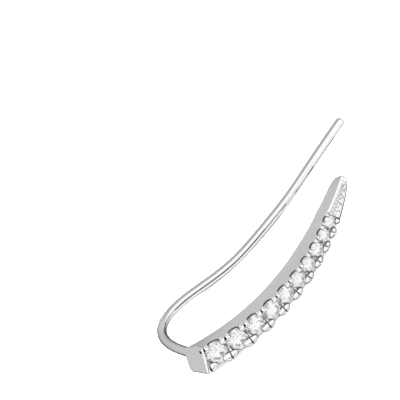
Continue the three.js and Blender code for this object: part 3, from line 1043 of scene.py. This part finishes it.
# ---- tip ----
BEAD_FRONT = 0.02 * MM  # how far the beads lie behind the claw tops
BEAD_SHRINK = 0.45  # how much smaller the beads get towards the end, as a share
BEAD_ROOM = 1.9  # the channel ends this many bead radii from the outer side
FIRST_BEAD = 0.45  # the first bead's middle, in pitches from the tip's start
GRAIN_FRONT = 0.09 * MM
GRAIN_SHRINK = 0.5
GRAIN_UNEVEN = 0.12  # the outer row's grains are larger by this share and the inner row's smaller
GRAIN_STAGGER = 0.25  # the rows are shifted by this share of a pitch, to either side
GRAIN_SINK = 0.9  # the inner row keeps this many grain radii from the rim
GRAIN_STRETCH = 1.1
ROW_PLACES = (0.1, 0.8)  # of the inner and the outer row, as shares of the channel's width
STRIP_RINGS = 40
STRIP_BEND = 0.8  # share of the strip before it follows the round end
STRIP_TURN = math.radians(75)
STRIP_SWELL = 3  # the strip is twice as wide after one part in this many of the round end
STRIP_DEPTH = 4  # in widths of the strip


def bead(bar, across, front, along, radius, stretch):
    """A round bead on the front, drawn out along the bar."""
    bm = bmesh.new()
    bmesh.ops.create_uvsphere(bm, u_segments=20, v_segments=12, radius=radius)
    bmesh.ops.scale(bm, vec=(1, 1, stretch), verts=bm.verts)
    bmesh.ops.translate(bm, vec=(across, front + radius, along), verts=bm.verts)
    bend(bar, bm)
    return bm


def bead_radius(tip, part):
    return tip.bead * (1 - BEAD_SHRINK * part)


def painted_shade_strip(bar):
    """The grey outer edge that the tip's beads stand against, painted as shade."""
    tip = bar.tip
    cap_start = bar.sizes.length - tip.cap
    bm = unit_block()
    add_rings(bm, STRIP_RINGS)
    paint(bm.faces, PAINTED_SHADE)
    for vert in bm.verts:
        across, deep, part = vert.co
        past_bend = max(0, part - STRIP_BEND) / (1 - STRIP_BEND)
        turned = STRIP_TURN * past_bend
        along = mix(bar.tip_start - tip.strip, cap_start, min(1, part / STRIP_BEND))
        along += (tip.cap + tip.nose) * math.sin(turned)
        proud = across * tip.strip * (1 + ease(STRIP_SWELL * past_bend))
        outside = bar.outer(along) * math.cos(turned) + proud
        front = tip.strip + tip.cap * (1 - math.cos(turned))
        vert.co = Vector((outside, front + STRIP_DEPTH * tip.strip * deep, along))
    bend(bar, bm)
    return bm


def add_tip(settings):
    """Beads along the tip's outer edge with a grey strip of painted shade, and two rows of grains in its
    channel.
    """
    bar = Bar(settings)
    tip = settings.tip
    whole = bmesh.new()
    run = bar.sizes.length - tip.cap * 2 - bar.tip_start
    for i in range(tip.beads):
        part = (i + FIRST_BEAD) / tip.beads
        radius = bead_radius(tip, part)
        along = bar.tip_start + run * part
        across = bar.outer(along) * (1 - 2 * FRONT_CORNER) - radius
        append(whole, bead(bar, across, BEAD_FRONT, along, radius, tip.bead_stretch))
    for i in range(tip.grains):
        part = (i + 0.5) / tip.grains
        for side, row_place in zip((-1, 1), ROW_PLACES):
            radius = tip.grain * (1 - GRAIN_SHRINK * part) * (1 + GRAIN_UNEVEN * side)
            along = bar.tip_start + run * (part + side * GRAIN_STAGGER / tip.grains)
            low = -bar.width(along) / 2 + tip.rim + radius * GRAIN_SINK
            high = bar.outer(along) - bead_radius(tip, part) * BEAD_ROOM
            across = mix(low, high, row_place) if high > low else (low + high) / 2
            append(whole, bead(bar, across, GRAIN_FRONT, along, radius, GRAIN_STRETCH))
    materials = metal_materials(settings.finishes)
    metal_piece("tip_edge", painted_shade_strip(bar), materials)
    metal_piece("tip_beads", whole, materials)


# ---- ear wire ----
# Four points of the wire before the piece is laid down, in millimetres: x across, y back and
# z along at the wide end. A curve leaves its point along the pull and arrives against it.
WIRE_POINTS = [
    {"name": "root", "at": (0, 1.5, 0.7), "pull": (0.9, 8.9, -2)},
    {"name": "top of the bend", "at": (-1.15, 11.3, 4.75), "pull": (-0.7, 0, 3.9)},
    {"name": "middle", "at": (-4, 11.2, 13.1), "pull": (-2.05, -0.2, 3.8)},
    {"name": "free end", "at": (-10.1, 10.05, 21.9), "pull": (-4.15, -0.8, 5.85)},
]
WIRE_STEPS = 48  # for each of the wire's curves
WIRE_SIDES = 40
END_STEPS = 10
LINE_SPAN = math.radians(6)  # half of the turn that the grey line of painted reflection takes round the wire


def wire_points():
    """Points along the wire's middle, before the piece is laid down."""
    points = []
    for start, end in zip(WIRE_POINTS, WIRE_POINTS[1:]):
        leave = Vector(start["at"]) + Vector(start["pull"])
        arrive = Vector(end["at"]) - Vector(end["pull"])
        curve = geometry.interpolate_bezier(start["at"], leave, arrive, end["at"], WIRE_STEPS + 1)
        points.extend(curve if not points else curve[1:])
    return [point * MM for point in points]


def wire_stations(wire):
    """Place, direction and radius along the wire, ending in a round end."""
    points = wire_points()
    stations = []
    gone = 0
    for i, point in enumerate(points):
        before = points[max(i - 1, 0)]
        after = points[min(i + 1, len(points) - 1)]
        gone += (point - before).length
        flare = wire.flare * math.exp(-((gone / wire.flare_length) ** 2) / 2)
        stations.append((point, (after - before).normalized(), wire.radius + flare))
    point, heading, radius = stations[-1]
    for i in range(1, END_STEPS + 1):
        turned = CAP_TURN * i / END_STEPS
        stations.append((point + heading * radius * math.sin(turned), heading, radius * math.cos(turned)))
    return stations


def station_matrix(point, rotation, radius):
    """Places a ring of radius 1 on the wire."""
    return Matrix.Translation(point) @ rotation.to_matrix().to_4x4() @ even_scale(radius)


def even_scale(size):
    return Matrix.Diagonal((size, size, size, 1))


def wire_solid(wire):
    """The wire as one tube, drawn ring by ring."""
    bm = bmesh.new()
    stations = wire_stations(wire)
    point, heading, radius = stations[0]
    rotation = heading.to_track_quat("Z", "Y")
    last = station_matrix(point, rotation, radius)
    ring = bmesh.ops.create_circle(bm, cap_ends=True, segments=WIRE_SIDES, radius=1, matrix=last)
    edges = list({e for v in ring["verts"] for e in v.link_edges})
    for point, direction, radius in stations[1:]:
        rotation = heading.rotation_difference(direction) @ rotation
        heading = direction
        made = bmesh.ops.extrude_edge_only(bm, edges=edges)["geom"]
        matrix = station_matrix(point, rotation, radius)
        verts = only(bmesh.types.BMVert, made)
        bmesh.ops.transform(bm, matrix=matrix @ last.inverted(), verts=verts)
        edges = only(bmesh.types.BMEdge, made)
        last = matrix
    bmesh.ops.edgeloop_fill(bm, edges=edges)
    bmesh.ops.recalc_face_normals(bm, faces=bm.faces)
    return bm


def paint_shade_line(wire, bm):
    """Paints a grey line along the wire's front: a painted dark reflection."""
    end = max(vert.co.x for vert in bm.verts)
    for face in bm.faces:
        middle = face.calc_center_median()
        if len(face.verts) != 4 or middle.y < wire.line_from:
            continue
        edge = max(face.edges, key=lambda edge: edge.calc_length())
        heading = (edge.verts[1].co - edge.verts[0].co).normalized()
        part = ease(1 - (end - middle.x) / wire.line_turn)
        wanted = Vector((0, -1, mix(wire.line_low, wire.line_high, part)))
        wanted -= heading * wanted.dot(heading)
        if face.normal.angle(wanted, math.pi) < LINE_SPAN:
            face.material_index = PAINTED_SHADE


def add_wire(settings):
    """The ear wire, laid down with the bar."""
    bm = wire_solid(settings.wire)
    bmesh.ops.transform(bm, matrix=Bar(settings).place, verts=bm.verts)
    bm.normal_update()
    paint_shade_line(settings.wire, bm)
    metal_piece("ear_wire", bm, metal_materials(settings.finishes))


# ---- stones ----
STAR_REACH = 0.76  # radius where a star facet's point lies
LOWER_REACH = 0.24  # radius where two lower facets meet in a point
MAINS = 8  # main facets on either side of the girdle
BLANK_SIDES = 64  # facets of the girdle before the grinding
GRIND_SLACK = 1e-6
FLAT_ANGLE = math.radians(0.5)  # faces that meet at less are one facet
STONE_SPIN = math.radians(37)  # from one stone to the next
PLACE_SLACK = 0.08 * MM


def on_ring(radius, index, height):
    """A point on a level circle, at the index times half of the turn between two main facets."""
    turned = math.pi * index / MAINS
    return Vector((radius * math.cos(turned), radius * math.sin(turned), height))


def grind(bm, a, b, c):
    """Grinds away all that lies outside the plane through three points, and closes the cut."""
    normal = geometry.normal((a, b, c))
    if normal.dot(a) < 0:
        normal.negate()
    rim = slice_mesh(bm, a, normal, GRIND_SLACK, clear=True)
    if len(rim) > 2:
        bmesh.ops.holes_fill(bm, edges=rim, sides=0)


def brilliant(stones):
    """A round brilliant of radius 1, ground out of a round blank, with its table at height 0."""
    girdle_top = -stones.crown
    girdle_base = girdle_top - stones.girdle
    culet = girdle_base - stones.pavilion
    slope = stones.crown / (1 - stones.table)
    half_cosine = math.cos(math.pi / MAINS)
    star_height = girdle_top + slope * (1 - STAR_REACH * half_cosine)
    lower_height = girdle_base - stones.pavilion * (1 - LOWER_REACH * half_cosine)
    bm = bmesh.new()
    cone(bm, Matrix.Identity(4), 1, 1, culet, 0, BLANK_SIDES)
    centre = Vector((0, 0, (girdle_top + girdle_base) / 2))
    bmesh.ops.translate(bm, vec=-centre, verts=bm.verts)
    facets = []  # three points on each facet's plane
    for k in range(0, 2 * MAINS, 2):
        round_girdle = on_ring(1, k + MAINS / 2, 0)
        top, base = on_ring(1, k, girdle_top), on_ring(1, k, girdle_base)
        table = on_ring(stones.table, k, 0)
        star = on_ring(STAR_REACH, k + 1, star_height)
        lower = on_ring(LOWER_REACH, k + 1, lower_height)
        facets.append((top, top + round_girdle, table))
        facets.append((table, on_ring(stones.table, k + 2, 0), star))
        facets.append((base, base + round_girdle, Vector((0, 0, culet))))
        for near in (k, k + 2):
            for height, point in ((girdle_top, star), (girdle_base, lower)):
                facets.append((on_ring(1, near, height), on_ring(1, k + 1, height), point))
    for corners in facets:
        grind(bm, *[corner - centre for corner in corners])
    bmesh.ops.translate(bm, vec=centre, verts=bm.verts)
    bmesh.ops.dissolve_limit(bm, angle_limit=FLAT_ANGLE, verts=bm.verts, edges=bm.edges)
    bmesh.ops.recalc_face_normals(bm, faces=bm.faces)
    return bm


def add_stones(settings):
    """The brilliants, each turned a little further than the last."""
    bar = Bar(settings)
    material = stone_material(bar.stones)
    for index in range(bar.stones.count):
        bm = brilliant(bar.stones)
        radius = bar.stone_radius(index)
        spin = Matrix.Rotation(STONE_SPIN * index, 4, "Z")
        bmesh.ops.transform(bm, matrix=bar.stone_frame(index) @ spin @ even_scale(radius), verts=bm.verts)
        number = f"{index + 1:02d}"
        piece = add_object(f"brilliant_{number}", bm, [material])
        for polygon in piece.data.polygons:
            polygon.use_smooth = False
        node = f"stone_{number}"
        check_place(piece, node)
        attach(piece, "root")
        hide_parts(node)


def check_place(piece, node):
    """A stone must lie where the frame's own stone does."""
    low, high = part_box(node)
    corners = [Vector(corner) for corner in piece.bound_box]
    middle = (corners[0] + corners[6]) / 2  # these two lie opposite
    if (middle - (low + high) / 2).length > PLACE_SLACK:
        raise RuntimeError(f"{piece.name} isn't where {node} is: {middle} and {(low + high) / 2}")


# ---- stage ----
CARD_SPAN = (0.6, 0.93)  # cosines between the card's soft edge and its middle
CARD_DROP = math.radians(-10)  # how far the card lies below the camera's line
FRONT_SPAN = (-0.65, 0.15)  # where the bright front of the studio fades to its back
RISE_SPAN = (0.5, 0.85)  # where the back of the studio dims from low to high
LINE_HEIGHT = -0.49  # where a dim line runs across the front, below the horizon
LINE_EDGE = (0.03, 0.065)  # from the line's middle to its soft edge's start and end
NEAREST, FARTHEST = 1 * MM, 10000 * MM  # of what the camera can see
PANELS = (
    {"name": "overhead_panel", "at": (0, -0.2, 0.35), "size": (0.5, 0.36), "power": "overhead"},
    {"name": "front_panel", "at": (-0.05, -0.4, 0.3), "size": (0.5, 0.35), "power": "front"},
)


def show_to_camera_only(piece):
    """Keeps a piece of the stage out of the metal's reflections, which show the studio alone."""
    piece.visible_glossy = False
    piece.visible_transmission = False


def add_floor(settings):
    """A wide floor under the piece."""
    bm = bmesh.new()
    bmesh.ops.create_grid(bm, x_segments=1, y_segments=1, size=settings.stage.floor / 2)
    floor = add_object("floor", bm, [floor_material(settings.finishes)])
    show_to_camera_only(floor)


def add_panel(name, place, size, power):
    """A soft panel light that faces the piece."""
    light = bpy.data.lights.new(name, "AREA")
    light.shape = "RECTANGLE"
    light.size, light.size_y = size
    light.energy = power
    lamp = add_to_scene(name, light)
    lamp.location = place
    lamp.rotation_euler = (-Vector(place)).to_track_quat("-Z", "Y").to_euler()
    show_to_camera_only(lamp)


def add_camera(stage):
    """The main view."""
    camera = bpy.data.cameras.new("camera")
    camera.lens = stage.lens
    camera.clip_start, camera.clip_end = NEAREST, FARTHEST
    holder = add_to_scene("camera", camera)
    holder.location = stage.camera
    holder.rotation_mode = "QUATERNION"
    facing = (-camera_back(stage)).to_track_quat("-Z", "Y")
    holder.rotation_quaternion = facing @ Quaternion((0, 0, 1), stage.tilt)
    bpy.context.scene.camera = holder


def camera_back(stage):
    """Points from the piece to the camera."""
    return Vector((
        math.sin(stage.azimuth) * math.cos(stage.elevation),
        -math.cos(stage.azimuth) * math.cos(stage.elevation),
        math.sin(stage.elevation),
    ))


def add_surround(settings):
    """A soft studio, brighter in front of the piece, with a dark card behind and below it."""
    stage = settings.stage
    world = bpy.data.worlds.new("studio")
    world.use_nodes = True
    tree = world.node_tree
    direction = new_node(tree, "TexCoord", {})["Generated"]
    parts = new_node(tree, "SeparateXYZ", {"Vector": direction})
    card_middle = Quaternion((1, 0, 0), CARD_DROP) @ -camera_back(stage)
    to_card = new_node(tree, "VectorMath", {0: direction, 1: card_middle}, operation="DOT_PRODUCT")["Value"]
    behind = map_range(tree, parts["Z"], RISE_SPAN, (stage.surround_back, stage.surround_top))
    in_card = map_range(tree, to_card, CARD_SPAN, (0, 1))
    back = new_node(tree, "Mix", {"A": behind, "B": stage.card, "Factor": in_card})["Result"]
    from_line = new_node(tree, "Math", {0: parts["Z"], 1: LINE_HEIGHT}, operation="SUBTRACT")["Value"]
    to_line = new_node(tree, "Math", {0: from_line}, operation="ABSOLUTE")["Value"]
    front = map_range(tree, to_line, LINE_EDGE, (stage.surround_line, stage.surround_front))
    in_front = map_range(tree, parts["Y"], FRONT_SPAN, (1, 0))
    light = new_node(tree, "Mix", {"A": back, "B": front, "Factor": in_front})["Result"]
    feed(tree, tree.nodes["Background"], {"Color": (*settings.finishes.surround, 1), "Strength": light})
    bpy.context.scene.world = world
    bpy.context.scene.view_settings.view_transform = "Standard"


def add_stage(settings):
    """The floor, the camera, the studio and its lights."""
    add_floor(settings)
    add_camera(settings.stage)
    add_surround(settings)
    for panel in PANELS:
        add_panel(panel["name"], panel["at"], panel["size"], getattr(settings.stage, panel["power"]))


# ---- operators and panel ----
class CLIMBER_OT_bar(bpy.types.Operator):
    """Add the bar's walls with its seats, grooves and hollows, and the end block"""

    bl_idname = "climber.add_bar"
    bl_label = "Bar and end block"

    def execute(self, context):
        add_bar(context.scene.climber)
        return {"FINISHED"}


class CLIMBER_OT_claws(bpy.types.Operator):
    """Add the split claws"""

    bl_idname = "climber.add_claws"
    bl_label = "Claws"

    def execute(self, context):
        add_claws(context.scene.climber)
        return {"FINISHED"}


class CLIMBER_OT_tip(bpy.types.Operator):
    """Add the beads and grains of the tip, and the dull edge beside them"""

    bl_idname = "climber.add_tip"
    bl_label = "Tip beads"

    def execute(self, context):
        add_tip(context.scene.climber)
        return {"FINISHED"}


class CLIMBER_OT_stones(bpy.types.Operator):
    """Add the graduated brilliants"""

    bl_idname = "climber.add_stones"
    bl_label = "Stones"

    def execute(self, context):
        add_stones(context.scene.climber)
        return {"FINISHED"}


class CLIMBER_OT_wire(bpy.types.Operator):
    """Add the ear wire"""

    bl_idname = "climber.add_wire"
    bl_label = "Ear wire"

    def execute(self, context):
        add_wire(context.scene.climber)
        return {"FINISHED"}


class CLIMBER_OT_stage(bpy.types.Operator):
    """Add the floor, the camera and the lights"""

    bl_idname = "climber.add_stage"
    bl_label = "Stage"

    def execute(self, context):
        add_stage(context.scene.climber)
        return {"FINISHED"}


OPERATORS = (
    CLIMBER_OT_bar,
    CLIMBER_OT_claws,
    CLIMBER_OT_tip,
    CLIMBER_OT_stones,
    CLIMBER_OT_wire,
    CLIMBER_OT_stage,
)


class CLIMBER_PT_panel(bpy.types.Panel):
    """Lists the pieces of the ear climber"""

    bl_idname = "CLIMBER_PT_panel"
    bl_label = "Ear Climber"
    bl_space_type = "VIEW_3D"
    bl_region_type = "UI"
    bl_category = "Ear Climber"

    def draw(self, context):
        for operator in OPERATORS:
            self.layout.operator(operator.bl_idname)


GROUPS = (
    BarSizes, StoneSizes, ClawSizes, TipSizes, PlateSizes, WireSizes, Finishes, StageSizes, ClimberSettings,
)


def register():
    for cls in (*GROUPS, *OPERATORS, CLIMBER_PT_panel):
        bpy.utils.register_class(cls)
    bpy.types.Scene.climber = PointerProperty(type=ClimberSettings)


def unregister():
    del bpy.types.Scene.climber
    for cls in reversed((*GROUPS, *OPERATORS, CLIMBER_PT_panel)):
        bpy.utils.unregister_class(cls)


def main():
    register()
    bpy.ops.climber.add_bar()
    bpy.ops.climber.add_claws()
    bpy.ops.climber.add_tip()
    bpy.ops.climber.add_stones()
    bpy.ops.climber.add_wire()
    bpy.ops.climber.add_stage()


if __name__ == "__main__":
    main()
